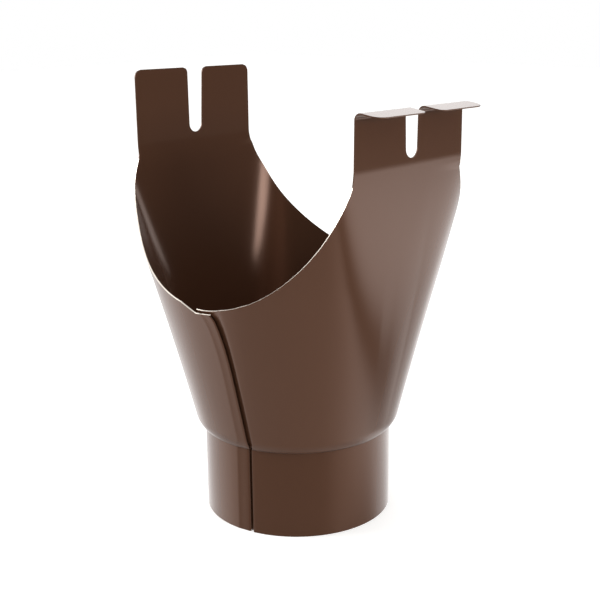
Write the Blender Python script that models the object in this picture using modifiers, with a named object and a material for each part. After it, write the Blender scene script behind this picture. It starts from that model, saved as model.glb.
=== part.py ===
"""Gutter outlet for a half-round gutter: one pressed sheet, rolled up and lapped at a seam.

The spigot stands on z = 0 with its axis on Z. The gutter that hangs in the saddle runs along Y.
The front wing is at +X and carries the folded flaps, the rear wing is at -X, and the lapped
seam is at -Y. Lengths are in metres.
"""

import math

import bmesh
import bpy

NODE = "outlet_body"

# Sheet
SHEET = 0.0006

# Spigot that the downpipe takes
SPIGOT_R = 0.050
SPIGOT_H = 0.046

# Shoulder between the spigot and the funnel
SHOULDER_H = 0.006
SHOULDER_STEP = 0.0005

# Funnel: a cone whose section is slightly square, as the exponent of a superellipse
FUNNEL_H = 0.0787
FUNNEL_ANGLE = math.radians(14.28)
SQUARE_LOW = 2.2
SQUARE_HIGH = 2.35
SQUARE_RISE = 0.083

# Saddle: the cut that takes the round of the gutter
GUTTER_R = 0.075

# Wings: the flat pressed into the front and the back of the funnel
TAB_SPRING = 0.00034
WING_H = 0.0683
WING_TILT = math.radians(6.6)
WING_BEND_R = 0.025
WING_CREASE = 0.0012
VALLEY_DEPTH = 0.0008
VALLEY_REACH = 0.0040

# Tabs above the wings, their heights taken from the bend
TAB_HALF = 0.0414
NOTCH_DROP = 0.0064
NOTCH_FLARE = 0.51
FLARE_BLEND = 0.004
REAR_TAB_H = 0.0391
FRONT_TAB_H = 0.0263
FLAP_LENGTH = 0.0128
FLAP_DROP = math.radians(5)
FLAP_BEND_R = 0.0014
CORNER_R = 0.004
SLOT_CORNER_R = 0.0015

# Slot through each tab, round at its foot and open at its top
SLOT_RISE = 0.003
SLOT_R = 0.00433
SLOT_TAPER = 0.04

# Lapped seam: x of each line on the spigot, on the funnel and at the rim
CREASE_X = (0.0047, 0.0080, 0.0006)
EDGE_X = (0.0107, 0.0133, 0.0090)
JOGGLE_X = (0.0124, 0.0152, 0.0128)
SEAM_EASE_H = 0.033
LAP_DROP = 0.0037
LAP_SLANT_X = -0.009
LAP_FLAT_X = 0.0015
LAP_STEP = 0.0004
LAP_ROLL = 0.0002
LAP_CLEARANCE = 0.00035
JOGGLE_RUN = 0.0018
CREASE_RUN = 0.0014

# How finely the loft is cut
STEP_COLUMNS = 8
CORNER_COLUMNS = 16
SEAM_ANGLE = math.radians(20)
BODY_ROWS = 16
SHOULDER_ROWS = 4
ARC_ROWS = 4

SHOULDER_Z = SPIGOT_H + SHOULDER_H
SADDLE_Z = SPIGOT_H + FUNNEL_H
GUTTER_Z = SADDLE_Z + GUTTER_R
TAB_X = GUTTER_R - TAB_SPRING
WING_BEND_Z = SADDLE_Z + WING_H
NOTCH_Z = WING_BEND_Z - NOTCH_DROP
LAP_RIM_Z = SADDLE_Z - LAP_DROP
SEAM_EASE_Z = LAP_RIM_Z - SEAM_EASE_H
LAP_DEPTH = LAP_STEP + SHEET + LAP_CLEARANCE + LAP_ROLL


def lerp(a, b, t):
    """Value between a and b."""
    return a + (b - a) * t


def soft_min(a, b, width):
    """Smaller of two lengths, rounded where they are closer than width."""
    near = max(width - abs(a - b), 0.0) / width
    return min(a, b) - near * near * width / 4


def funnel_radius(z):
    """Half-width of the funnel on its own axes at height z."""
    return SPIGOT_R + SHOULDER_STEP + math.tan(FUNNEL_ANGLE) * (z - SPIGOT_H)


def squareness(z):
    """Superellipse exponent of the section at height z."""
    t = (z - SHOULDER_Z) / SQUARE_RISE
    return lerp(SQUARE_LOW, SQUARE_HIGH, min(max(t, 0.0), 1.0))


def wing_plane(z):
    """Distance of the flat of a wing from the axis at height z."""
    return TAB_X - math.tan(WING_TILT) * (WING_BEND_Z - z)


def pressed(x, z):
    """Funnel's reach x with the wing's flat pressed in and the shallow valley round it."""
    flat = wing_plane(z)
    over = flat - x
    valley = 0.0
    if 0.0 < over < VALLEY_REACH:
        t = over / VALLEY_REACH
        valley = VALLEY_DEPTH * 6.75 * t * (1 - t) ** 2
    return soft_min(x, flat, WING_CREASE) - valley


def funnel_point(angle, z):
    """Point of the funnel on the column that starts at this angle of the spigot."""
    radius = funnel_radius(z)
    power = 2 / squareness(z)
    c, s = math.cos(angle), math.sin(angle)
    x = math.copysign(pressed(radius * abs(c) ** power, z), c)
    y = math.copysign(radius * abs(s) ** power, s)
    return x, y


def seam_point(x, z):
    """Point of the funnel's near side at this x."""
    radius = funnel_radius(z)
    n = squareness(z)
    return x, -(radius ** n - abs(x) ** n) ** (1 / n)


def seam_line(values, z):
    """x of a seam line at height z, easing over to its value at the rim."""
    on_spigot, on_funnel, at_rim = values
    if z <= SPIGOT_H:
        return on_spigot
    t = (z - SEAM_EASE_Z) / (LAP_RIM_Z - SEAM_EASE_Z)
    t = min(max(t, 0.0), 1.0)
    return lerp(on_funnel, at_rim, 1 - math.sqrt(1 - t * t))


def saddle_z(x):
    """Height of the saddle's cut at this x."""
    return GUTTER_Z - math.sqrt(GUTTER_R ** 2 - x * x)


def rim_half(z):
    """Half-length of the rim at height z: the saddle's cut, then the flare below the tab."""
    radius = funnel_radius(z)
    n = squareness(z)
    gutter_x = math.sqrt(GUTTER_R ** 2 - (GUTTER_Z - z) ** 2)
    cut = radius * (1 - (gutter_x / radius) ** n) ** (1 / n)
    flare = TAB_HALF + NOTCH_FLARE * (NOTCH_Z - z)
    return soft_min(cut, flare, FLARE_BLEND)


def column_top(angle):
    """Height at which the column at this angle meets the rim."""
    low, high = SADDLE_Z, NOTCH_Z
    for _ in range(40):
        z = (low + high) / 2
        if abs(funnel_point(angle, z)[1]) < rim_half(z):
            low = z
        else:
            high = z
    return low


def column(spigot_xy, funnel_xy, top, inset):
    """Points of one column from the spigot's foot to the rim, set in by the seam's inset."""
    points = [(*spigot_xy, z) for z in (0.0, SPIGOT_H)]
    for row in range(1, SHOULDER_ROWS + 1):
        turn = math.pi / 2 * row / SHOULDER_ROWS
        z = SHOULDER_Z - SHOULDER_H * math.cos(turn)
        x, y = funnel_xy(z)
        share = math.sin(turn)
        points.append((lerp(spigot_xy[0], x, share), lerp(spigot_xy[1], y, share), z))
    for row in range(1, BODY_ROWS + 1):
        z = lerp(SHOULDER_Z, top, row / BODY_ROWS)
        points.append((*funnel_xy(z), z))
    return [(x, y + inset, z) for x, y, z in points]


def round_column(angle, top):
    """Column that starts at this angle of the spigot."""
    spigot_xy = (SPIGOT_R * math.cos(angle), SPIGOT_R * math.sin(angle))
    return column(spigot_xy, lambda z: funnel_point(angle, z), top, 0.0)


def seam_column(x_at, top, inset):
    """Column that follows a line of the seam, whose x is a function of the height."""
    x = x_at(0.0)
    spigot_xy = (x, -math.sqrt(SPIGOT_R ** 2 - x * x))
    return column(spigot_xy, lambda z: seam_point(x_at(z), z), top, inset)


def under_columns():
    """Columns of the sheet's inner end, joggled in so that the outer end lies in it."""
    end = LAP_DEPTH
    places = (
        (lambda z: 0.0, end),
        (lambda z: (seam_line(JOGGLE_X, z) - JOGGLE_RUN) / 2, end),
        (lambda z: seam_line(JOGGLE_X, z) - JOGGLE_RUN, end),
        (lambda z: seam_line(JOGGLE_X, z), end * 0.75),
        (lambda z: seam_line(JOGGLE_X, z) + JOGGLE_RUN / 2, end * 0.2),
        (lambda z: seam_line(JOGGLE_X, z) + JOGGLE_RUN, 0.0),
    )
    columns = []
    for x_at, inset in places:
        columns.append(seam_column(x_at, saddle_z(x_at(SADDLE_Z)), inset))
    return columns


def lap_top(x):
    """Height of the outer end's rim: the saddle, then a slant down to the flat of the lap."""
    t = (x - LAP_SLANT_X) / (LAP_FLAT_X - LAP_SLANT_X)
    return lerp(saddle_z(LAP_SLANT_X), LAP_RIM_Z, min(max(t, 0.0), 1.0))


def lap_columns():
    """Columns of the sheet's outer end, which steps in at a crease and rolls over at its edge."""
    places = (
        (lambda z: LAP_SLANT_X, 0.0),
        (lambda z: (LAP_SLANT_X + seam_line(CREASE_X, z)) / 2, 0.0),
        (lambda z: seam_line(CREASE_X, z) - CREASE_RUN / 2, 0.0),
        (lambda z: seam_line(CREASE_X, z) + CREASE_RUN / 2, LAP_STEP),
        (lambda z: seam_line(EDGE_X, z) - CREASE_RUN / 2, LAP_STEP),
        (lambda z: seam_line(EDGE_X, z), LAP_STEP + LAP_ROLL),
    )
    columns = []
    for x_at, inset in places:
        columns.append(seam_column(x_at, lap_top(x_at(LAP_RIM_Z)), inset))
    return columns


def wing_angles():
    """Angles of the columns that run up into a tab, from the wing's middle to its side."""
    radius = funnel_radius(NOTCH_Z)
    half_power = squareness(NOTCH_Z) / 2
    shares = [step / STEP_COLUMNS for step in range(STEP_COLUMNS + 1)]
    return [math.asin((TAB_HALF * share / radius) ** half_power) for share in shares]


def sheet_columns():
    """All columns in order round the sheet, and where each wing's columns start."""
    wing = wing_angles()
    side = wing[-1]
    corner = [lerp(side, math.pi / 2, k / CORNER_COLUMNS) for k in range(1, CORNER_COLUMNS)]
    corner = [angle for angle in corner if angle < math.pi / 2 - SEAM_ANGLE / 2]
    near = [angle for angle in corner if angle < math.pi / 2 - SEAM_ANGLE]
    flat = [-angle for angle in reversed(wing[1:])] + wing
    columns = under_columns()
    columns += [round_column(-angle, column_top(-angle)) for angle in reversed(near)]
    front = len(columns)
    columns += [round_column(angle, NOTCH_Z) for angle in flat]
    columns += [round_column(angle, column_top(angle)) for angle in corner]
    columns.append(round_column(math.pi / 2, SADDLE_Z))
    far = [math.pi - angle for angle in reversed(corner)]
    columns += [round_column(angle, column_top(angle)) for angle in far]
    rear = len(columns)
    columns += [round_column(math.pi + angle, NOTCH_Z) for angle in flat]
    columns += [round_column(math.pi + angle, column_top(angle)) for angle in near]
    columns += lap_columns()
    return columns, front, rear


def walk(runs, distance):
    """Point (x, z) at this distance along a folded strip that starts at the notch."""
    x, z, heading = wing_plane(NOTCH_Z), NOTCH_Z, WING_TILT
    for length, turn in runs:
        d = min(distance, length)
        distance -= d
        if turn:
            rate = turn / length
            after = heading + rate * d
            x += (math.cos(heading) - math.cos(after)) / rate
            z += (math.sin(after) - math.sin(heading)) / rate
            heading = after
        else:
            x += math.sin(heading) * d
            z += math.cos(heading) * d
    return x, z


def tab_runs(folded):
    """Straight and bent runs (length, turn) of a tab, from the notch to its end."""
    reach = WING_BEND_R * math.tan(WING_TILT / 2)
    runs = [(NOTCH_DROP / math.cos(WING_TILT) - reach, 0.0)]
    runs.append((WING_BEND_R * WING_TILT, -WING_TILT))
    if not folded:
        runs.append((REAR_TAB_H - reach, 0.0))
        return runs
    fold = math.pi / 2 + FLAP_DROP
    fold_reach = FLAP_BEND_R * math.tan(fold / 2)
    runs.append((FRONT_TAB_H - reach - fold_reach, 0.0))
    runs.append((FLAP_BEND_R * fold, fold))
    runs.append((FLAP_LENGTH - fold_reach, 0.0))
    return runs


def inset_of(distance, radius):
    """How far a rounded corner draws the side in at this distance from the end."""
    if distance >= radius:
        return 0.0
    return radius - math.sqrt(radius ** 2 - (radius - distance) ** 2)


def slot_half(distance):
    """Half-width of the slot at this distance above its foot."""
    if distance < SLOT_R:
        return math.sqrt(SLOT_R ** 2 - (SLOT_R - distance) ** 2)
    return SLOT_R + SLOT_TAPER * (distance - SLOT_R)


def tab_rows(folded):
    """Distances of a tab's rows from the notch: those below the slot's foot and the rest."""
    runs = tab_runs(folded)
    ends = [runs[0][0], runs[0][0] + runs[1][0]]
    total = sum(length for length, _ in runs)
    foot = ends[1] + WING_BEND_Z + SLOT_RISE - walk(runs, ends[1])[1]
    lower = [ends[0], (ends[0] + ends[1]) / 2, ends[1], foot]
    quarter = [math.pi / 2 * k / ARC_ROWS for k in range(1, ARC_ROWS + 1)]
    upper = [foot + SLOT_R * (1 - math.cos(turn)) for turn in quarter]
    if folded:
        fold_start = ends[1] + runs[2][0]
        upper += [fold_start + runs[3][0] * k / ARC_ROWS for k in range(ARC_ROWS + 1)]
    else:
        upper.append((upper[-1] + total - CORNER_R) / 2)
    upper += [total - CORNER_R * math.cos(turn) for turn in [0.0] + quarter]
    return runs, lower, upper, foot, total


def add_tab(bm, base, sign, folded):
    """Grow a tab from the notch row: one sheet up to the slot's foot, then two strips."""
    runs, lower, upper, foot, total = tab_rows(folded)
    count = STEP_COLUMNS
    row = base
    for distance in lower:
        x, z = walk(runs, distance)
        places = [TAB_HALF * k / count for k in range(-count, count + 1)]
        new = [bm.verts.new((sign * x, sign * y, z)) for y in places]
        add_faces(bm, row, new)
        row = new
    for side in (-1, 1):
        strip = row[:count + 1] if side < 0 else row[count:]
        for distance in upper:
            x, z = walk(runs, distance)
            inner = slot_half(distance - foot) + inset_of(total - distance, SLOT_CORNER_R)
            outer = TAB_HALF - inset_of(total - distance, CORNER_R)
            places = [side * lerp(inner, outer, k / count) for k in range(count + 1)]
            if side < 0:
                places.reverse()
            new = [bm.verts.new((sign * x, sign * y, z)) for y in places]
            add_faces(bm, strip, new)
            strip = new


def add_faces(bm, low, high):
    """Quads between two rows of vertices, facing out."""
    for k in range(len(low) - 1):
        bm.faces.new((low[k], low[k + 1], high[k + 1], high[k]))


def build_sheet():
    """Outer face of the folded sheet as one open surface."""
    bm = bmesh.new()
    columns, front, rear = sheet_columns()
    verts = [[bm.verts.new(point) for point in points] for points in columns]
    rows = list(zip(*verts))
    for low, high in zip(rows, rows[1:]):
        add_faces(bm, low, high)
    span = 2 * STEP_COLUMNS + 1
    add_tab(bm, rows[-1][front:front + span], 1, True)
    add_tab(bm, rows[-1][rear:rear + span], -1, False)
    mesh = bpy.data.meshes.new(NODE)
    bm.to_mesh(mesh)
    bm.free()
    return mesh


def coated_steel():
    """Dark brown satin coating on steel sheet."""
    material = bpy.data.materials.new("brown_coated_steel")
    material.use_nodes = True
    shader = material.node_tree.nodes["Principled BSDF"]
    shader.inputs["Base Color"].default_value = (0.075, 0.038, 0.024, 1.0)
    shader.inputs["Roughness"].default_value = 0.35
    shader.inputs["Metallic"].default_value = 0.0
    return material


def clear_scene():
    """Remove what the scene holds."""
    for item in list(bpy.data.objects):
        bpy.data.objects.remove(item, do_unlink=True)


def main():
    clear_scene()
    collection = bpy.data.collections.new("gutter_outlet")
    bpy.context.scene.collection.children.link(collection)
    mesh = build_sheet()
    mesh.shade_smooth()
    mesh.set_sharp_from_angle(angle=math.radians(35))
    mesh.materials.append(coated_steel())
    body = bpy.data.objects.new(NODE, mesh)
    collection.objects.link(body)
    skin = body.modifiers.new("Sheet thickness", "SOLIDIFY")
    skin.thickness = SHEET
    skin.offset = -1.0
    skin.use_even_offset = True
    skin.use_quality_normals = True


if __name__ == "__main__":
    main()
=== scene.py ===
"""Looks for a gutter outlet of brown coated steel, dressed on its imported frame."""

import math

import bmesh
import bpy
from bpy.props import FloatProperty, StringProperty
from mathutils import Matrix, Vector


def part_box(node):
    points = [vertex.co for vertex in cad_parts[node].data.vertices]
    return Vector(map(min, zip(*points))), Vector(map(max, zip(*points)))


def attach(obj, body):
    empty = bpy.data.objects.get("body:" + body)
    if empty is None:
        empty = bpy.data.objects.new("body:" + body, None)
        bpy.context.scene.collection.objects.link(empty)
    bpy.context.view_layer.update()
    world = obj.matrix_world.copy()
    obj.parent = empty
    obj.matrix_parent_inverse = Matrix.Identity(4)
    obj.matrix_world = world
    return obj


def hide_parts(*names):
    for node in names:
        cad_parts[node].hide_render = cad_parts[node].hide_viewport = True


bl_info = {
    "name": "Gutter outlet",
    "version": (1, 0, 0),
    "blender": (4, 5, 0),
    "location": "View3D > Sidebar > Outlet",
    "description": "Presses, laps and coats a gutter outlet and sets the studio round it",
    "category": "Add Mesh",
}

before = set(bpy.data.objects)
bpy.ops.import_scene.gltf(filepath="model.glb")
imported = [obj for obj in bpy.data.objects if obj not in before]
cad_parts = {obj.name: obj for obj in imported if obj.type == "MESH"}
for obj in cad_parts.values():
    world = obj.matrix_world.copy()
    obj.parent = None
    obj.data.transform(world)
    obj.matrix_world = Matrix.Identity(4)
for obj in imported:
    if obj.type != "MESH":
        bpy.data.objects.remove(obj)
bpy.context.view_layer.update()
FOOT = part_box("outlet_body")[0]
MM = 0.001
MATH = "ShaderNodeMath"

# Seam lines as x on the spigot, above the shoulder and at the lap's top
CREASE_X = (4.7 * MM, 8.0 * MM, 0.6 * MM)
EDGE_X = (10.9 * MM, 12.4 * MM, 7.2 * MM)
JOGGLE_X = (11.8 * MM, 15.0 * MM, 12.5 * MM)
# Height below the lap's top over which the seam lines curve
EASE_H = 33 * MM
# The sheet's inner end: where it starts, and how its top edge drops there and with its inset
UNDER_X = -4.1 * MM
UNDER_DROP = 1.1 * MM
INSET_DROP = 0.28
# The lap's top corner, cut off on a slant, and the rise from there to the lap's edge
LAP_DROP = 4.3 * MM
SLANT_X = -13 * MM
SLANT_END_X = -3.0 * MM
LAP_RISE = 1.3 * MM
# Steps of the seam through the sheet
LAP_STEP = 0.2 * MM
LAP_ROLL = 0.3 * MM
LAP_RIDGE = 0.05 * MM
LAP_CLEARANCE = 0.9 * MM
# Stretches across the seam in which the crease, its ridge, the rolled edge and the joggle lie
CREASE_RUN = 2.4 * MM
RIDGE_X = 0.45 * CREASE_RUN
RIDGE_WIDTH = 0.4 * CREASE_RUN
ROLL_RUN = 1.2 * MM
JOGGLE_START = -0.5 * MM
JOGGLE_RUN = 1.5 * MM
# Half the angle round the sheet that is left to the seam's columns
SEAM_ANGLE = math.radians(22)
# The rim: how much lower the near side is cut, and the flare below each tab
NEAR_DROP = 1.2 * MM
NOTCH_FLARE = 0.51
FLARE_BLEND = 4 * MM
# The notch at each half of a tab: how far it is raised, and how softly it is rounded
NOTCHES = {"front": (-0.6 * MM, 1.6 * MM), "rear": (1.6 * MM, 1.6 * MM),
           "front far": (1.2 * MM, 2.5 * MM), "rear far": (0.0, 9 * MM)}
# Cosine and sine of a column's angle between which one wing border's softness meets the next
ENDS_BLEND = 0.3
SIDES_BLEND = (-0.1, 0.2)
# Tabs: height above the bend, the bend's radius and the rounded corners
REAR_TAB_H = 39.1 * MM
FRONT_TAB_H = 26.45 * MM
WING_BEND_R = 25 * MM
CORNER_R = 4 * MM
# Flaps that are folded out of the front tab
FLAP_LENGTH = 13.0 * MM
FLAP_DROP = math.radians(8.5)
FLAP_BEND_R = 2.7 * MM
FLAP_CORNER_R = 5.2 * MM
# Slots: height of the foot above the bend, place, lean, and shape at the open end
FRONT_SLOT_RISE = 2.6 * MM
REAR_SLOT_RISE = 3.9 * MM
FRONT_SLOT_Y = 0.9 * MM
REAR_SLOT_LEAN = 0.02
SLOT_CORNER_R = 3 * MM
SLOT_TAPER = 0.03
# Lean of the front tab's near side, and slope of each tab's rows, which sets in over a run
FRONT_LEAN = 0.02
FRONT_SKEW = 0.013
REAR_SKEW = 0.018
SKEW_RUN = 15 * MM
# The near rim's cut edge: how far it is rolled over, and where that dies out
ROLLOVER = 0.15 * MM
ROLLOVER_END = 36 * MM
# Where a cut edge belongs to the seam: its normal's rise, and its distance from the middle
UPRIGHT = 0.6
SEAM_ZONE = 20 * MM
# Angle from which two faces meet in a sharp edge
SHARP_ANGLE = math.radians(35)

# Rows up each column of the blank, and the margin that keeps one just below the shoulder
SPIGOT_ROWS = 8
SHOULDER_ROWS = 12
FUNNEL_ROWS = 84
SHOULDER_MARGIN = 0.4 * MM
# Columns of half a wing, of a corner, and from a corner to the seam
WING_COLUMNS = 28
CORNER_COLUMNS = 42
BRIDGE_COLUMNS = 7
# Columns of the seam: inner end, joggle, slant, crease, step and rolled edge
UNDER_COLUMNS = 6
JOGGLE_COLUMNS = 16
SLANT_COLUMNS = 10
CREASE_COLUMNS = 14
STEP_COLUMNS = 4
ROLL_COLUMNS = 8
# Rows of a tab: below the bend, in it, round an arc, beside the slot, in the fold and after it
NOTCH_ROWS = 3
BEND_ROWS = 8
ARC_ROWS = 10
SLOT_ROWS = 4
FOLD_ROWS = 12
FLAP_ROWS = 3
REAR_ROWS = 6
# Rounds in which the height of a column's top is found, by halving and by repeating
HALVING_ROUNDS = 40
BRIDGE_ROUNDS = 6

# Orange peel of the coating: distance between its waves, and their depth
PEEL_SIZE = 1.11 * MM
PEEL_DEPTH = 0.1 * MM

# Camera that took the photograph: place round the part and framing
CAMERA_RISE = math.radians(15.39)
CAMERA_DISTANCE = 610.0 * MM
CAMERA_SIDE = 2.07 * MM
CAMERA_HEIGHT = 113.0 * MM
CAMERA_ROLL = math.radians(-0.68)
FOCAL_PIXELS = 1146.73
IMAGE_PIXELS = 600
SENSOR = 36.0
CAMERA_CLIP = 10 * MM

# Studio: the floor, its glow in the picture, the plain light and the brightest reflection
FLOOR_HALF = 3.0
FLOOR_GAP = 0.02 * MM
FLOOR_LIFT = 0.45
WORLD_LEVEL = 0.75
GLOSS_PEAK = 2.6
# Each side of the surround as (elevation in degrees, radiance)
FRONT_SIDE = ((-90, 0.6), (-50, 0.85), (-42, 0.8), (-34, 0.5), (-24, 0.4), (-10, 0.15), (0, 0.0),
              (28, 0.0), (40, 0.5), (90, 0.7))
RIGHT_SIDE = ((-90, 0.6), (-50, 0.85), (-44, 1.45), (-38, 1.55), (-33, 1.05), (-28, 1.2),
              (-23.5, 1.65), (-20.5, 2.3), (-17, 2.1), (-13, 0.6), (-10, 0.1), (6, 0.0), (15, 0.3),
              (22, 0.8), (40, 0.8), (90, 0.7))
BACK_SIDE = ((-90, 0.6), (-46, 0.8), (-37, 1.3), (-32, 1.45), (-28, 1.9), (-19, 1.5),
             (-12, 1.2), (-6, 0.7), (0, 0.4), (8, 1.7), (14, 2.1), (26, 2.4), (46, 2.5), (60, 1.2),
             (90, 0.8))
# Where each side begins and ends: (azimuth in degrees, share of front, right and back)
SIDES = ((-180, (0, 0, 1)), (-140, (0, 0, 1)), (-110, (1, 0, 0)), (-15, (1, 0, 0)),
         (28, (0, 1, 0)), (95, (0, 1, 0)), (122, (0, 0, 1)), (180, (0, 0, 1)))
# Dark gap under the bright side: middle and half-size in degrees, and its soft edge
GAP_TURN, GAP_HALF_TURN = 42, 30
GAP_RISE, GAP_HALF_RISE = -30.3, 4.4
GAP_SOFT = (0.8, 1.35)
# Lamps: name, azimuth, elevation, distance, width, height, power
LAMPS = (
    ("Right box", 5, 13, 1.2, 0.66, 0.25, 5.4),
    ("Corner strip", 77, 3, 1.2, 0.35, 0.35, 0.7),
    ("Left box", -140, 22, 1.3, 0.7, 0.7, 10.0),
    ("Back box", 130, 45, 1.4, 0.8, 0.8, 3.0),
)
LAMP_AIM = 0.12


def lerp(a, b, t):
    """Value between a and b."""
    return a + (b - a) * t


def clamp(t):
    """t, kept between 0 and 1."""
    return min(max(t, 0.0), 1.0)


def ease(t):
    """Smooth step from 0 to 1."""
    t = clamp(t)
    return t * t * (3 - 2 * t)


def linear(code):
    """Linear RGBA of an sRGB hex colour."""
    values = [int(code[k:k + 2], 16) / 255 for k in (1, 3, 5)]
    return [v / 12.92 if v <= 0.04045 else ((v + 0.055) / 1.055) ** 2.4 for v in values] + [1.0]


def add(tree, kind, links=(), **settings):
    """Add a node with its settings; links go to its inputs in order, or by name or number.

    A link is a socket, a node, which stands for its first output, or a plain value.
    """
    node = tree.nodes.new(kind)
    for name, value in settings.items():
        setattr(node, name, value)
    for key, value in links.items() if isinstance(links, dict) else enumerate(links):
        if isinstance(value, bpy.types.Node):
            value = value.outputs[0]
        if isinstance(value, bpy.types.NodeSocket):
            tree.links.new(value, node.inputs[key])
        else:
            node.inputs[key].default_value = value
    return node


class OutletSizes(bpy.types.PropertyGroup):
    """Sizes of the pressed sheet."""

    sheet: FloatProperty(
        name="Sheet", description="Thickness of the sheet", default=0.6 * MM, unit="LENGTH")
    spigot_r: FloatProperty(
        name="Spigot radius", description="Outer radius of the spigot", default=50 * MM,
        unit="LENGTH")
    spigot_h: FloatProperty(
        name="Spigot height", description="Height of the spigot up to the shoulder",
        default=46 * MM, unit="LENGTH")
    shoulder_h: FloatProperty(
        name="Shoulder", description="Height of the rounding above the spigot",
        default=6 * MM, unit="LENGTH")
    shoulder_step: FloatProperty(
        name="Shoulder step", description="How far the funnel stands out from the spigot",
        default=0.5 * MM, unit="LENGTH")
    funnel_h: FloatProperty(
        name="Funnel height",
        description="From the shoulder's crease to the saddle's lowest point",
        default=78.7 * MM, unit="LENGTH")
    funnel_angle: FloatProperty(
        name="Funnel angle", description="Lean of the funnel's wall",
        default=math.radians(14.28), subtype="ANGLE")
    square_low: FloatProperty(
        name="Squareness low", description="Superellipse exponent above the shoulder",
        default=2.2)
    square_high: FloatProperty(
        name="Squareness high", description="Superellipse exponent near the saddle",
        default=2.35)
    square_rise: FloatProperty(
        name="Squareness rise", description="Height over which the section turns squarer",
        default=83 * MM, unit="LENGTH")
    gutter_r: FloatProperty(
        name="Gutter radius", description="Radius of the gutter that the saddle takes",
        default=75 * MM, unit="LENGTH")
    tab_spring: FloatProperty(
        name="Tab spring", description="How far the tabs spring in against the gutter",
        default=0.34 * MM, unit="LENGTH")
    wing_h: FloatProperty(
        name="Wing height", description="From the saddle's lowest point to the tab's bend",
        default=68.3 * MM, unit="LENGTH")
    wing_tilt: FloatProperty(
        name="Wing tilt", description="Lean of the flat wing", default=math.radians(6.6),
        subtype="ANGLE")
    front_crease: FloatProperty(
        name="Front crease", description="Softness of the front flat's seam-side edge",
        default=6.5 * MM, unit="LENGTH")
    rear_crease: FloatProperty(
        name="Rear crease", description="Softness of the rear flat's seam-side edge",
        default=8.5 * MM, unit="LENGTH")
    foot_swell: FloatProperty(
        name="Foot swell", description="How far the funnel's foot swells past the straight cone",
        default=1.3 * MM, unit="LENGTH")
    swell_rise: FloatProperty(
        name="Swell rise", description="Height over which the swell at the foot dies out",
        default=80 * MM, unit="LENGTH")
    far_crease: FloatProperty(
        name="Far crease", description="Softness of both flats' edges away from the seam",
        default=14.0 * MM, unit="LENGTH")
    tab_half: FloatProperty(
        name="Tab half-width", description="Half the width of each tab", default=41.4 * MM,
        unit="LENGTH")
    notch_drop: FloatProperty(
        name="Notch drop", description="From the tab's bend down to the notch at its side",
        default=6.4 * MM, unit="LENGTH")
    slot_r: FloatProperty(
        name="Slot radius", description="Radius of the slot's foot", default=4.6 * MM,
        unit="LENGTH")


class OutletFinish(bpy.types.PropertyGroup):
    """Colours of the part and the studio, and the camera's turn."""

    coating: StringProperty(
        name="Coating", description="sRGB hex colour of the brown coating", default="#4a3022")
    sheen: StringProperty(
        name="Sheen", description="sRGB hex colour of the coating's reflection",
        default="#ffd2bd")
    zinc: StringProperty(
        name="Zinc", description="sRGB hex colour of the bare cut edge", default="#e6ddd2")
    backdrop: StringProperty(
        name="Backdrop", description="sRGB hex colour of the floor", default="#ececea")
    camera_turn: FloatProperty(
        name="Camera azimuth", description="Turn of the camera round the part",
        default=math.radians(42.62), subtype="ANGLE")


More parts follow.
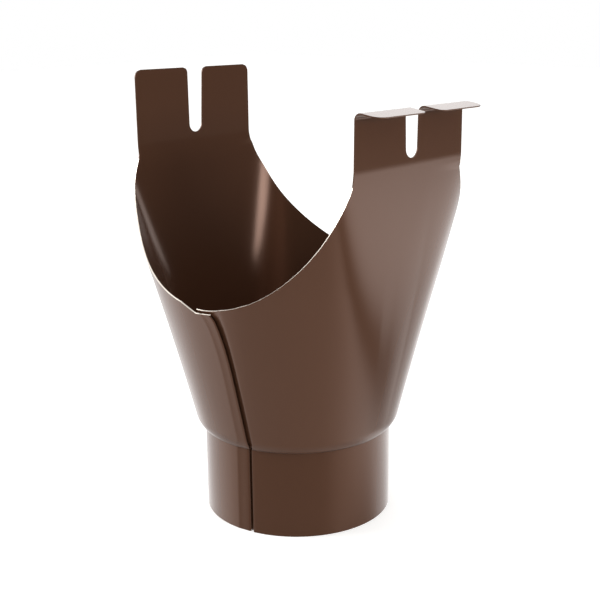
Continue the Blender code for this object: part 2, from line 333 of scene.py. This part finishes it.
class Blank:
    """Lays out the sheet before it is pressed: points as (angle, inset, height)."""

    def __init__(self, sizes):
        s = self.s = sizes
        self.shoulder_z = s.spigot_h + s.shoulder_h
        self.saddle_z = s.spigot_h + s.funnel_h
        self.gutter_z = self.saddle_z + s.gutter_r
        self.bend_z = self.saddle_z + s.wing_h
        self.notch_z = self.bend_z - s.notch_drop
        self.tab_x = s.gutter_r - s.tab_spring
        self.lap_z = self.saddle_z - LAP_DROP

    def radius(self, z):
        """Radius of the funnel at this height, before it turns squarish."""
        s = self.s
        above = z - s.spigot_h
        swell = s.foot_swell * max(1 - above / s.swell_rise, 0.0) ** 2
        return s.spigot_r + s.shoulder_step + swell + math.tan(s.funnel_angle) * above

    def squareness(self, z):
        """Superellipse exponent of the funnel at this height."""
        s = self.s
        return lerp(s.square_low, s.square_high, clamp((z - self.shoulder_z) / s.square_rise))

    def reach(self, angle, z):
        """Half-length of the funnel along the gutter for the column at this angle."""
        return self.radius(z) * abs(math.sin(angle)) ** (2 / self.squareness(z))

    def flare(self, z, corner):
        """Half-width of the tab, flaring out below the notch at its side."""
        rise, soft = NOTCHES[corner]
        depth = self.notch_z + rise - z
        below = min(max(depth, -soft), soft)
        extra = (below + soft) ** 2 / (4 * soft) + max(depth - soft, 0.0)
        return self.s.tab_half + NOTCH_FLARE * extra

    def rim_half(self, z, corner):
        """Half-length of the rim: the saddle's cut, then the flare below the tab."""
        radius, n = self.radius(z), self.squareness(z)
        centre = self.gutter_z - (0.0 if "far" in corner else NEAR_DROP)
        gutter_x = math.sqrt(self.s.gutter_r ** 2 - (centre - z) ** 2)
        cut = radius * (1 - (gutter_x / radius) ** n) ** (1 / n)
        flare = self.flare(z, corner)
        merge = max(FLARE_BLEND - abs(cut - flare), 0.0) / FLARE_BLEND
        return min(cut, flare) - merge * merge * FLARE_BLEND / 4

    def top(self, angle, corner):
        """Height at which the column at this angle meets the rim."""
        low = self.saddle_z - (0.0 if "far" in corner else NEAR_DROP)
        high = self.notch_z
        for _ in range(HALVING_ROUNDS):
            z = (low + high) / 2
            inside = self.reach(angle, z) < self.rim_half(z, corner)
            low, high = (z, high) if inside else (low, z)
        return low

    def saddle(self, x):
        """Height of the near rim over x."""
        return self.gutter_z - NEAR_DROP - math.sqrt(self.s.gutter_r ** 2 - x * x)

    def seam_line(self, values, z):
        """x of a seam line at height z, from the spigot over the shoulder to the rim."""
        t = clamp((z - self.lap_z + EASE_H) / EASE_H)
        over = lerp(values[1], values[2], 1 - math.sqrt(1 - t * t))
        return lerp(values[0], over, ease((z - self.s.spigot_h) / self.s.shoulder_h))

    def seam_angle(self, x, z):
        """Angle of the column through this x on the near side."""
        if z < self.shoulder_z:
            low = x / self.s.spigot_r
            high = (abs(x) / self.radius(self.shoulder_z)) ** (self.s.square_low / 2)
            share = ease((z - self.s.spigot_h) / self.s.shoulder_h)
            return -math.pi / 2 + math.asin(lerp(low, math.copysign(high, x), share))
        base = (abs(x) / self.radius(z)) ** (self.squareness(z) / 2)
        return -math.pi / 2 + math.asin(math.copysign(base, x))

    def heights(self, top):
        """Heights of a column's points, close together round the shoulder."""
        s = self.s
        rows = [s.spigot_h * k / SPIGOT_ROWS for k in range(SPIGOT_ROWS)]
        rows += [s.spigot_h - SHOULDER_MARGIN, s.spigot_h]
        turns = [math.pi / 2 / SHOULDER_ROWS * k for k in range(1, SHOULDER_ROWS + 1)]
        rows += [self.shoulder_z - s.shoulder_h * math.cos(turn) for turn in turns]
        steps = range(1, FUNNEL_ROWS + 1)
        return rows + [lerp(self.shoulder_z, top, k / FUNNEL_ROWS) for k in steps]

    def under(self):
        """Seam columns of the inner end, which is joggled in under the lap."""
        depth = LAP_STEP + self.s.sheet + LAP_CLEARANCE + LAP_ROLL
        columns = []
        for k in range(UNDER_COLUMNS):
            t = k / UNDER_COLUMNS
            columns.append((
                lambda z, t=t: lerp(UNDER_X, self.seam_line(JOGGLE_X, z) + JOGGLE_START, t),
                depth))
        for k in range(JOGGLE_COLUMNS + 1):
            t = k / JOGGLE_COLUMNS
            columns.append((
                lambda z, t=t: self.seam_line(JOGGLE_X, z) + JOGGLE_START + JOGGLE_RUN * t,
                depth * (1 - ease(t))))
        last = columns[-1][0]
        width = last(self.saddle_z) - UNDER_X
        out = []
        for x_at, inset in columns:
            x = x_at(self.saddle_z)
            share = 1 - ease((x - UNDER_X) / width)
            top = self.saddle(x) - UNDER_DROP * share - INSET_DROP * inset
            out.append(self.seam_column(x_at, top, inset))
        return out + self.bridge(last, 1)

    def bridge(self, x_at, side):
        """Columns that lead from the seam's last one to the round ones beside it."""
        out = []
        for k in range(1, BRIDGE_COLUMNS):
            t = k / BRIDGE_COLUMNS

            def angle_at(z):
                return lerp(self.seam_angle(x_at(z), z), -math.pi / 2 + side * SEAM_ANGLE, t)

            top = self.saddle_z
            for _ in range(BRIDGE_ROUNDS):
                x = self.radius(top) * abs(math.cos(angle_at(top))) ** (2 / self.squareness(top))
                top = self.saddle(x)
            out.append([(angle_at(z), 0.0, z) for z in self.heights(top)])
        return out

    def lap(self):
        """Seam columns of the outer end: a ridge, a step in and an edge that rolls over."""
        columns = []
        for k in range(SLANT_COLUMNS):
            t = k / SLANT_COLUMNS
            columns.append((
                lambda z, t=t: lerp(SLANT_X, self.seam_line(CREASE_X, z) - CREASE_RUN, t), 0.0))
        for k in range(CREASE_COLUMNS + 1):
            x = lerp(-CREASE_RUN, CREASE_RUN, k / CREASE_COLUMNS)
            ridge = LAP_RIDGE * math.exp(-((x + RIDGE_X) / RIDGE_WIDTH) ** 2)
            columns.append((
                lambda z, x=x: self.seam_line(CREASE_X, z) + x,
                LAP_STEP * ease(0.5 + x / CREASE_RUN / 2) - ridge))
        for k in range(1, STEP_COLUMNS):
            t = k / STEP_COLUMNS
            columns.append((
                lambda z, t=t: lerp(self.seam_line(CREASE_X, z) + CREASE_RUN,
                                    self.seam_line(EDGE_X, z) - ROLL_RUN, t), LAP_STEP))
        for k in range(ROLL_COLUMNS + 1):
            t = k / ROLL_COLUMNS
            columns.append((
                lambda z, t=t: self.seam_line(EDGE_X, z) - ROLL_RUN * (1 - t),
                LAP_STEP + LAP_ROLL * t ** 2))
        out = list(reversed(self.bridge(lambda z: SLANT_X, -1)))
        for x_at, inset in columns:
            t = (x_at(self.lap_z) - SLANT_X) / (SLANT_END_X - SLANT_X)
            top = lerp(self.saddle(SLANT_X), self.lap_z, clamp(t))
            along = (x_at(self.lap_z) - SLANT_END_X) / (EDGE_X[1] - SLANT_END_X)
            top += LAP_RISE * max(along, 0.0)
            out.append(self.seam_column(x_at, top, inset))
        return [[(a + 2 * math.pi, i, z) for a, i, z in column] for column in out]

    def seam_column(self, x_at, top, inset):
        """Column that follows a line of the seam, whose x is a function of the height."""
        return [(self.seam_angle(x_at(z), z), inset, z) for z in self.heights(top)]

    def round_column(self, angle, top):
        """Column at one angle, up to its top."""
        return [(angle, 0.0, z) for z in self.heights(top)]

    def half_wing(self, corner):
        """Angles of the columns on one half of a wing."""
        radius, half = self.radius(self.notch_z), self.squareness(self.notch_z) / 2
        wide = self.flare(self.notch_z, corner)
        return [math.asin((wide * k / WING_COLUMNS / radius) ** half)
                for k in range(WING_COLUMNS + 1)]

    def columns(self):
        """All columns round the sheet, and where each wing's columns start."""
        wings = {corner: self.half_wing(corner) for corner in NOTCHES}
        steps = range(1, CORNER_COLUMNS + 1)
        corners = {}
        for corner, wing in wings.items():
            end = math.pi / 2 - (0.0 if "far" in corner else SEAM_ANGLE)
            angles = [lerp(wing[-1], end, k / CORNER_COLUMNS) for k in steps]
            corners[corner] = [(a, self.top(a, corner)) for a in angles]
        out = self.under()
        out += [self.round_column(-a, top) for a, top in reversed(corners["front"])]
        front = len(out)
        out += [self.round_column(a, self.notch_z)
                for a in [-a for a in reversed(wings["front"][1:])] + wings["front far"]]
        out += [self.round_column(a, top) for a, top in corners["front far"][:-1]]
        out.append(self.round_column(math.pi / 2, self.saddle_z))
        out += [self.round_column(math.pi - a, top)
                for a, top in reversed(corners["rear far"][:-1])]
        rear = len(out)
        out += [self.round_column(math.pi + a, self.notch_z)
                for a in [-a for a in reversed(wings["rear far"][1:])] + wings["rear"]]
        out += [self.round_column(math.pi + a, top) for a, top in corners["rear"]]
        return out + self.lap(), front, rear

    def runs(self, folded):
        """Straight and bent runs (length, turn) of a tab, from the notch to its end."""
        s = self.s
        reach = WING_BEND_R * math.tan(s.wing_tilt / 2)
        runs = [(s.notch_drop / math.cos(s.wing_tilt) - reach, 0.0),
                (WING_BEND_R * s.wing_tilt, -s.wing_tilt)]
        if not folded:
            return runs + [(REAR_TAB_H - reach, 0.0)]
        fold = math.pi / 2 + FLAP_DROP
        fold_reach = FLAP_BEND_R * math.tan(fold / 2)
        return runs + [(FRONT_TAB_H - reach - fold_reach, 0.0), (FLAP_BEND_R * fold, fold),
                       (FLAP_LENGTH - fold_reach, 0.0)]

    def walk(self, runs, distance):
        """Point (x, z) at this distance from the notch along a folded strip."""
        heading, z = self.s.wing_tilt, self.notch_z
        x = self.tab_x - math.tan(heading) * self.s.notch_drop
        for length, turn in runs:
            d = min(distance, length)
            distance -= d
            if turn:
                rate = turn / length
                after = heading + rate * d
                x += (math.cos(heading) - math.cos(after)) / rate
                z += (math.sin(after) - math.sin(heading)) / rate
                heading = after
            else:
                x += math.sin(heading) * d
                z += math.cos(heading) * d
        return x, z


def corner_inset(distance, radius):
    """How far a rounded corner draws the side in at this distance from the end."""
    if distance >= radius:
        return 0.0
    return radius - math.sqrt(radius ** 2 - (radius - distance) ** 2)


def quads(bm, low, high):
    """Faces between two rows of vertices, facing out."""
    for k in range(len(low) - 1):
        bm.faces.new((low[k], low[k + 1], high[k + 1], high[k]))


def tab_rows(blank, runs, folded):
    """Distances of a tab's rows from the notch: up to the slot's foot, then beside the slot."""
    corner_r = FLAP_CORNER_R if folded else CORNER_R
    first, second = runs[0][0], runs[0][0] + runs[1][0]
    total = sum(length for length, _ in runs)
    end = total - corner_r
    rise = FRONT_SLOT_RISE if folded else REAR_SLOT_RISE
    foot = second + blank.bend_z + rise - blank.walk(runs, second)[1]
    lower = [first * k / NOTCH_ROWS for k in range(1, NOTCH_ROWS + 1)]
    lower += [lerp(first, second, k / BEND_ROWS) for k in range(1, BEND_ROWS + 1)] + [foot]
    turns = [math.pi / 2 * k / ARC_ROWS for k in range(1, ARC_ROWS + 1)]
    upper = [foot + blank.s.slot_r * (1 - math.cos(turn)) for turn in turns]
    if folded:
        start, fold = second + runs[2][0], runs[3][0]
        upper += [lerp(upper[-1], start, k / SLOT_ROWS) for k in range(1, SLOT_ROWS)]
        upper += [start + fold * k / FOLD_ROWS for k in range(FOLD_ROWS + 1)]
        upper += [lerp(start + fold, end, k / FLAP_ROWS) for k in range(1, FLAP_ROWS)]
    else:
        upper += [lerp(upper[-1], end, k / REAR_ROWS) for k in range(1, REAR_ROWS)]
    upper += [total - corner_r * math.cos(turn) for turn in [0.0] + turns]
    return lower, upper


def blank_tab(bm, blank, layer, base, sign, folded):
    """Add a tab to the blank, folded already; the layer marks what isn't pressed."""
    slot_r = blank.s.slot_r
    runs = blank.runs(folded)
    lower, upper = tab_rows(blank, runs, folded)
    foot, total = lower[-1], sum(length for length, _ in runs)
    corner_r = FLAP_CORNER_R if folded else CORNER_R
    count = WING_COLUMNS

    def side_half(side, distance):
        near = side * sign < 0
        corner = ("front" if folded else "rear") + ("" if near else " far")
        lean = FRONT_LEAN * distance if near and folded else 0.0
        return blank.flare(blank.walk(runs, distance)[1], corner) - lean

    def row_of(distance, places):
        x, z = blank.walk(runs, distance)
        skew = (FRONT_SKEW if folded else REAR_SKEW) * ease(distance / SKEW_RUN)
        row = []
        for y in places:
            vert = bm.verts.new((sign * x, sign * y, z - skew * sign * y))
            vert[layer] = 1
            row.append(vert)
        return row

    row = base
    for distance in lower:
        new = row_of(distance, [side_half(k, distance) * k / count
                                for k in range(-count, count + 1)])
        quads(bm, row, new)
        row = new
    for side in (-1, 1):
        strip = row[:count + 1] if side < 0 else row[count:]
        for distance in upper:
            up = distance - foot
            if up < slot_r:
                inner = math.sqrt(max(slot_r ** 2 - (slot_r - up) ** 2, 0.0))
            else:
                inner = slot_r + SLOT_TAPER * (up - slot_r)
            inner += corner_inset(total - distance, SLOT_CORNER_R)
            outer = side_half(side, distance) - corner_inset(total - distance, corner_r)
            middle = FRONT_SLOT_Y if folded else REAR_SLOT_LEAN * up * sign
            places = [lerp(middle + side * inner, side * outer, k / count)
                      for k in range(count + 1)]
            new = row_of(distance, places if side > 0 else places[::-1])
            quads(bm, strip, new)
            strip = new


def blank_mesh(blank):
    """Mesh of the whole blank: the sheet that is pressed, and its two tabs."""
    bm = bmesh.new()
    layer = bm.verts.layers.int.new("on_tab")
    columns, front, rear = blank.columns()
    verts = [[bm.verts.new(point) for point in points] for points in columns]
    rows = list(zip(*verts))
    for low, high in zip(rows, rows[1:]):
        quads(bm, low, high)
    span = 2 * WING_COLUMNS + 1
    blank_tab(bm, blank, layer, rows[-1][front:front + span], 1, True)
    blank_tab(bm, blank, layer, rows[-1][rear:rear + span], -1, False)
    mesh = bpy.data.meshes.new("blank")
    bm.to_mesh(mesh)
    bm.free()
    return mesh


def press_tree(blank):
    """Geometry nodes that press the blank: angle, inset and height become the funnel."""
    s = blank.s
    tree = bpy.data.node_groups.new("Press the funnel", "GeometryNodeTree")
    face = tree.interface
    face.new_socket("Geometry", in_out="INPUT", socket_type="NodeSocketGeometry")
    face.new_socket("Geometry", in_out="OUTPUT", socket_type="NodeSocketGeometry")
    sizes = {
        "Spigot radius": s.spigot_r, "Spigot height": s.spigot_h, "Shoulder": s.shoulder_h,
        "Shoulder step": s.shoulder_step, "Funnel slope": math.tan(s.funnel_angle),
        "Squareness low": s.square_low, "Squareness high": s.square_high,
        "Squareness rise": s.square_rise, "Tab reach": blank.tab_x, "Bend height": blank.bend_z,
        "Wing slope": math.tan(s.wing_tilt), "Front crease": s.front_crease,
        "Rear crease": s.rear_crease, "Far crease": s.far_crease,
        "Foot swell": s.foot_swell, "Swell rise": s.swell_rise,
    }
    for name, value in sizes.items():
        socket = face.new_socket(name, in_out="INPUT", socket_type="NodeSocketFloat")
        socket.default_value = value
    face.new_socket("Coating", in_out="INPUT", socket_type="NodeSocketMaterial")
    given = add(tree, "NodeGroupInput").outputs
    place = add(tree, "GeometryNodeInputPosition")
    angle, inset, z = add(tree, "ShaderNodeSeparateXYZ", [place]).outputs
    cosine = add(tree, MATH, [angle], operation="COSINE")
    sine = add(tree, MATH, [angle], operation="SINE")
    above = add(tree, MATH, [z, given["Spigot height"]], operation="SUBTRACT")
    # The funnel's radius: a straight cone with a swell at its foot
    base = add(tree, MATH, [given["Spigot radius"], given["Shoulder step"]], operation="ADD")
    rise = add(tree, MATH, [above, given["Swell rise"]], operation="DIVIDE")
    rise = add(tree, "ShaderNodeClamp", [rise])
    faded = add(tree, MATH, [1.0, rise], operation="SUBTRACT")
    faded = add(tree, MATH, [faded, 2.0], operation="POWER")
    base = add(tree, MATH, [faded, given["Foot swell"], base], operation="MULTIPLY_ADD")
    radius = add(tree, MATH, [above, given["Funnel slope"], base], operation="MULTIPLY_ADD")
    # Its section: a superellipse that turns squarer on the way up
    rise = add(tree, MATH, [above, given["Shoulder"]], operation="SUBTRACT")
    share = add(tree, MATH, [rise, given["Squareness rise"]], operation="DIVIDE")
    exponent = add(tree, "ShaderNodeMapRange", {
        "Value": share, "To Min": given["Squareness low"], "To Max": given["Squareness high"]})
    power = add(tree, MATH, [2.0, exponent], operation="DIVIDE")
    reach = []
    for part in (cosine, sine):
        size = add(tree, MATH, [part], operation="ABSOLUTE")
        size = add(tree, MATH, [size, power], operation="POWER")
        reach.append(add(tree, MATH, [radius, size], operation="MULTIPLY"))
    # The flat wings, which cut the section off with a soft border
    below = add(tree, MATH, [given["Bend height"], z], operation="SUBTRACT")
    drop = add(tree, MATH, [below, given["Wing slope"]], operation="MULTIPLY")
    flat = add(tree, MATH, [given["Tab reach"], drop], operation="SUBTRACT")
    near = add(tree, "ShaderNodeMapRange", {
        "Value": cosine, "From Min": -ENDS_BLEND, "From Max": ENDS_BLEND,
        "To Min": given["Rear crease"], "To Max": given["Front crease"]})
    crease = add(tree, "ShaderNodeMapRange", {
        "Value": sine, "From Min": SIDES_BLEND[0], "From Max": SIDES_BLEND[1],
        "To Min": near, "To Max": given["Far crease"]})
    reach[0] = add(tree, MATH, [reach[0], flat, crease], operation="SMOOTH_MIN")
    # Both sections in full, from the sizes above and the side that the column is on
    funnel, spigot = [], []
    for part, size in zip((cosine, sine), reach):
        side = add(tree, MATH, [part], operation="SIGN")
        funnel.append(add(tree, MATH, [size, side], operation="MULTIPLY"))
        spigot.append(add(tree, MATH, [given["Spigot radius"], part], operation="MULTIPLY"))
    funnel = add(tree, "ShaderNodeCombineXYZ", funnel)
    spigot = add(tree, "ShaderNodeCombineXYZ", spigot)
    # The shoulder, which rounds from one to the other
    turn = add(tree, MATH, [above, given["Shoulder"]], operation="DIVIDE")
    turn = add(tree, "ShaderNodeClamp", [turn])
    left = add(tree, MATH, [1.0, turn], operation="SUBTRACT")
    left = add(tree, MATH, [left, 2.0], operation="POWER")
    bulge = add(tree, MATH, [1.0, left], operation="SUBTRACT")
    bulge = add(tree, MATH, [bulge], operation="SQRT")
    # A Mix node's A and B are inputs 4 and 5 for vectors, and 2 and 3 for numbers
    wall = add(tree, "ShaderNodeMix", {"Factor": bulge, 4: spigot, 5: funnel},
               data_type="VECTOR").outputs[1]
    lift = add(tree, "ShaderNodeCombineXYZ", {1: inset, 2: z})
    target = add(tree, "ShaderNodeVectorMath", [wall, lift], operation="ADD")
    # The tabs, which are in their folded places already
    on_tab = add(tree, "GeometryNodeInputNamedAttribute", {"Name": "on_tab"}, data_type="INT")
    pressed = add(tree, "FunctionNodeCompare", {2: on_tab.outputs["Attribute"], 3: 0},
                  data_type="INT", operation="EQUAL")
    moved = add(tree, "GeometryNodeSetPosition", {
        "Geometry": given["Geometry"], "Selection": pressed, "Position": target})
    real = add(tree, "GeometryNodeRealizeInstances", [moved])
    coated = add(tree, "GeometryNodeSetMaterial", {
        "Geometry": real, "Material": given["Coating"]})
    add(tree, "NodeGroupOutput", [coated])
    return tree


def coating_material(finish):
    """Coil-coated steel: a satin polyester film rolled on and baked.

    It gives a broad, soft reflection with a very fine orange peel.
    """
    material = bpy.data.materials.new("satin_polyester_on_steel")
    material.use_nodes = True
    tree = material.node_tree
    shader = tree.nodes["Principled BSDF"]
    shader.inputs["Base Color"].default_value = linear(finish.coating)
    shader.inputs["Roughness"].default_value = 0.22
    shader.inputs["IOR"].default_value = 1.55
    shader.inputs["Specular Tint"].default_value = linear(finish.sheen)
    place = add(tree, "ShaderNodeTexCoord").outputs["Object"]
    peel = add(tree, "ShaderNodeTexNoise", {
        "Vector": place, "Scale": 1 / PEEL_SIZE, "Detail": 2.0})
    bump = add(tree, "ShaderNodeBump", {
        "Height": peel.outputs["Fac"], "Strength": 0.05, "Distance": PEEL_DEPTH})
    tree.links.new(bump.outputs[0], shader.inputs["Normal"])
    return material


def zinc_material(finish):
    """Bare galvanised steel, where the shear cut the coated sheet: a thin bright line."""
    material = bpy.data.materials.new("sheared_galvanised_edge")
    material.use_nodes = True
    shader = material.node_tree.nodes["Principled BSDF"]
    shader.inputs["Base Color"].default_value = linear(finish.zinc)
    shader.inputs["Metallic"].default_value = 1.0
    shader.inputs["Roughness"].default_value = 0.4
    return material


def evaluated_mesh(source, name):
    """Plain mesh of an object with its modifiers evaluated."""
    bpy.context.view_layer.update()
    graph = bpy.context.evaluated_depsgraph_get()
    mesh = bpy.data.meshes.new_from_object(source.evaluated_get(graph))
    mesh.name = name
    return mesh


def press_blank(source, tree, coating):
    """Press the blank with the tree, and keep the result as the object's plain mesh."""
    press = source.modifiers.new("Press", "NODES")
    press.node_group = tree
    for item in tree.interface.items_tree:
        if item.in_out == "INPUT" and item.name == "Coating":
            press[item.identifier] = coating
    pressed = evaluated_mesh(source, "pressed")
    source.modifiers.clear()
    source.data = pressed


def thick_mesh(source, sheet):
    """Mesh of the sheet with its thickness, whose cut edges take the second material."""
    skin = source.modifiers.new("Sheet", "SOLIDIFY")
    skin.thickness = sheet
    skin.offset = -1.0
    skin.use_even_offset = True
    skin.use_quality_normals = True
    skin.material_offset_rim = 1
    return evaluated_mesh(source, "outlet_sheet")


def dress_edges(shell, outer, foot_z, notch_z):
    """Coat the cut edges of the seam and the tabs, and roll over the near rim's.

    Below foot_z the cut edge stays bare. The first vertices, as many as outer says, are those
    of the sheet's outer side.
    """
    rolled = set()
    for face in shell.polygons:
        centre = face.center
        if not face.material_index or centre.z < foot_z:
            continue
        seam = abs(face.normal.z) < UPRIGHT and abs(centre.x) < SEAM_ZONE and centre.y < 0
        if seam or centre.z > notch_z:
            face.material_index = 0
        elif centre.y < 0:
            rolled.update(index for index in face.vertices if index < outer)
    for index in rolled:
        place = shell.vertices[index].co
        place.z -= ROLLOVER * clamp(1 - place.x / ROLLOVER_END)


class OUTLET_OT_body(bpy.types.Operator):
    """Lay out the blank, press it and give the sheet its thickness and coating"""

    bl_idname = "outlet.body"
    bl_label = "Outlet body"

    def execute(self, context):
        scene = context.scene
        sizes, finish = scene.outlet_sizes, scene.outlet_finish
        blank = Blank(sizes)
        source = bpy.data.objects.new("blank", blank_mesh(blank))
        scene.collection.objects.link(source)
        press_blank(source, press_tree(blank), coating_material(finish))
        source.data.materials.append(zinc_material(finish))
        shell = thick_mesh(source, sizes.sheet)
        dress_edges(shell, len(source.data.vertices), sizes.spigot_h, blank.notch_z)
        bpy.data.objects.remove(source, do_unlink=True)
        shell.shade_smooth()
        shell.set_sharp_from_angle(angle=SHARP_ANGLE)
        body = bpy.data.objects.new("outlet_sheet", shell)
        scene.collection.objects.link(body)
        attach(body, "root")
        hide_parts("outlet_body")
        return {"FINISHED"}


def build_camera(scene, turn):
    """Camera at the photograph's angle."""
    rise = CAMERA_RISE
    back = Vector((math.sin(turn) * math.cos(rise), -math.cos(turn) * math.cos(rise),
                   math.sin(rise)))
    right = Vector((math.cos(turn), math.sin(turn), 0))
    up = back.cross(right)
    place = Vector((0, 0, CAMERA_HEIGHT)) + back * CAMERA_DISTANCE + right * CAMERA_SIDE
    side = right * math.cos(CAMERA_ROLL) + up * math.sin(CAMERA_ROLL)
    top = up * math.cos(CAMERA_ROLL) - right * math.sin(CAMERA_ROLL)
    data = bpy.data.cameras.new("Camera")
    data.sensor_width = SENSOR
    data.lens = SENSOR * FOCAL_PIXELS / IMAGE_PIXELS
    data.clip_start = CAMERA_CLIP
    camera = bpy.data.objects.new("Camera", data)
    camera.matrix_world = Matrix((
        (side.x, top.x, back.x, place.x), (side.y, top.y, back.y, place.y),
        (side.z, top.z, back.z, place.z), (0, 0, 0, 1)))
    scene.collection.objects.link(camera)
    scene.camera = camera


def build_floor(scene, finish):
    """Matt pale floor that shows white in the picture and keeps the part's shadow."""
    material = bpy.data.materials.new("matt_studio_floor")
    material.use_nodes = True
    tree = material.node_tree
    shader = tree.nodes["Principled BSDF"]
    shader.inputs["Base Color"].default_value = linear(finish.backdrop)
    shader.inputs["Roughness"].default_value = 0.9
    seen = add(tree, "ShaderNodeLightPath").outputs["Is Camera Ray"]
    tree.links.new(seen, shader.inputs["Emission Strength"])
    shader.inputs["Emission Color"].default_value = (FLOOR_LIFT, FLOOR_LIFT, FLOOR_LIFT, 1)
    mesh = bpy.data.meshes.new("studio_floor")
    h = FLOOR_HALF
    mesh.from_pydata([(-h, -h, 0), (h, -h, 0), (h, h, 0), (-h, h, 0)], [], [(0, 1, 2, 3)])
    mesh.materials.append(material)
    floor = bpy.data.objects.new("studio_floor", mesh)
    floor.location.z = FOOT.z - FLOOR_GAP
    floor.visible_glossy = False
    scene.collection.objects.link(floor)


def fill_ramp(ramp, stops):
    """Give a ramp its stops, each (place, colour), and return its colour output."""
    elements = ramp.color_ramp.elements
    for k, (place, colour) in enumerate(stops):
        element = elements[k] if k < 2 else elements.new(place)
        element.position = place
        element.color = (*colour, 1)
    return ramp.outputs[0]


def build_world(scene):
    """Plain light for the part, and a surround that only its reflections see."""
    world = bpy.data.worlds.new("Studio")
    scene.world = world
    world.use_nodes = True
    tree = world.node_tree
    background = tree.nodes["Background"]
    direction = add(tree, "ShaderNodeTexCoord").outputs["Generated"]
    x, y, z = add(tree, "ShaderNodeSeparateXYZ", [direction]).outputs
    rise = add(tree, MATH, [z], operation="ARCSINE")
    rise = add(tree, MATH, [rise], operation="DEGREES")
    turn = add(tree, MATH, [y, x], operation="ARCTAN2")
    turn = add(tree, MATH, [turn], operation="DEGREES")
    # Both angles as places on a ramp, which runs from 0 to 1
    height = add(tree, MATH, [rise, 1 / 180, 0.5], operation="MULTIPLY_ADD")
    around = add(tree, MATH, [turn, 1 / 360, 0.5], operation="MULTIPLY_ADD")
    side = add(tree, "ShaderNodeValToRGB", [around])
    side = fill_ramp(side, [((azimuth + 180) / 360, shares) for azimuth, shares in SIDES])
    glow = 0.0
    shares = add(tree, "ShaderNodeSeparateColor", [side]).outputs
    for share, stops in zip(shares, (FRONT_SIDE, RIGHT_SIDE, BACK_SIDE)):
        ramp = add(tree, "ShaderNodeValToRGB", [height])
        ramp = fill_ramp(ramp, [((elevation + 90) / 180, (radiance / GLOSS_PEAK,) * 3)
                                for elevation, radiance in stops])
        glow = add(tree, MATH, [share, ramp, glow], operation="MULTIPLY_ADD")
    # The dark gap: distance from its middle, in half-sizes
    across = add(tree, MATH, [turn, 1 / GAP_HALF_TURN, -GAP_TURN / GAP_HALF_TURN],
                 operation="MULTIPLY_ADD")
    along = add(tree, MATH, [rise, 1 / GAP_HALF_RISE, -GAP_RISE / GAP_HALF_RISE],
                operation="MULTIPLY_ADD")
    off = add(tree, MATH, [along, along], operation="MULTIPLY")
    off = add(tree, MATH, [across, across, off], operation="MULTIPLY_ADD")
    off = add(tree, MATH, [off], operation="SQRT")
    lit = add(tree, "ShaderNodeMapRange", {
        "Value": off, "From Min": GAP_SOFT[0], "From Max": GAP_SOFT[1]},
        interpolation_type="SMOOTHSTEP")
    glow = add(tree, MATH, [glow, lit], operation="MULTIPLY")
    shown = add(tree, MATH, [glow, GLOSS_PEAK], operation="MULTIPLY")
    rays = add(tree, "ShaderNodeLightPath").outputs
    plain = add(tree, "ShaderNodeMix", {
        "Factor": rays["Is Camera Ray"], 2: WORLD_LEVEL, 3: 1.0})
    level = add(tree, "ShaderNodeMix", {
        "Factor": rays["Is Glossy Ray"], 2: plain, 3: shown})
    background.inputs["Color"].default_value = (1, 1, 1, 1)
    tree.links.new(level.outputs[0], background.inputs["Strength"])


def build_lamps(scene):
    """Soft boxes round the part, all aimed at its middle."""
    middle = Vector((0, 0, LAMP_AIM))
    for name, turn, rise, distance, width, height, power in LAMPS:
        data = bpy.data.lights.new(name, "AREA")
        data.shape = "RECTANGLE"
        data.size, data.size_y = width, height
        data.energy = power
        lamp = bpy.data.objects.new(name, data)
        turn, rise = math.radians(turn), math.radians(rise)
        flat = distance * math.cos(rise)
        lamp.location = (flat * math.cos(turn), flat * math.sin(turn),
                         LAMP_AIM + distance * math.sin(rise))
        lamp.rotation_euler = (middle - lamp.location).to_track_quat("-Z", "Y").to_euler()
        scene.collection.objects.link(lamp)


class OUTLET_OT_stage(bpy.types.Operator):
    """Set the pale floor, the soft lights and the camera"""

    bl_idname = "outlet.stage"
    bl_label = "Studio"

    def execute(self, context):
        scene = context.scene
        finish = scene.outlet_finish
        build_camera(scene, finish.camera_turn)
        build_floor(scene, finish)
        build_world(scene)
        build_lamps(scene)
        scene.view_settings.view_transform = "Standard"
        return {"FINISHED"}


class OUTLET_PT_panel(bpy.types.Panel):
    """Shows the outlet's sizes and finish, and the buttons of its two operators"""

    bl_idname = "OUTLET_PT_panel"
    bl_label = "Gutter outlet"
    bl_space_type = "VIEW_3D"
    bl_region_type = "UI"
    bl_category = "Outlet"

    def draw(self, context):
        layout = self.layout
        for group in (context.scene.outlet_sizes, context.scene.outlet_finish):
            for name in group.__annotations__:
                layout.prop(group, name)
        layout.operator("outlet.body")
        layout.operator("outlet.stage")


CLASSES = (OutletSizes, OutletFinish, OUTLET_OT_body, OUTLET_OT_stage, OUTLET_PT_panel)


def register():
    for cls in CLASSES:
        bpy.utils.register_class(cls)
    bpy.types.Scene.outlet_sizes = bpy.props.PointerProperty(type=OutletSizes)
    bpy.types.Scene.outlet_finish = bpy.props.PointerProperty(type=OutletFinish)


def unregister():
    del bpy.types.Scene.outlet_finish
    del bpy.types.Scene.outlet_sizes
    for cls in reversed(CLASSES):
        bpy.utils.unregister_class(cls)


def main():
    """Register the add-on's classes and run its operators in order."""
    register()
    bpy.ops.outlet.body()
    bpy.ops.outlet.stage()


if __name__ == "__main__":
    main()
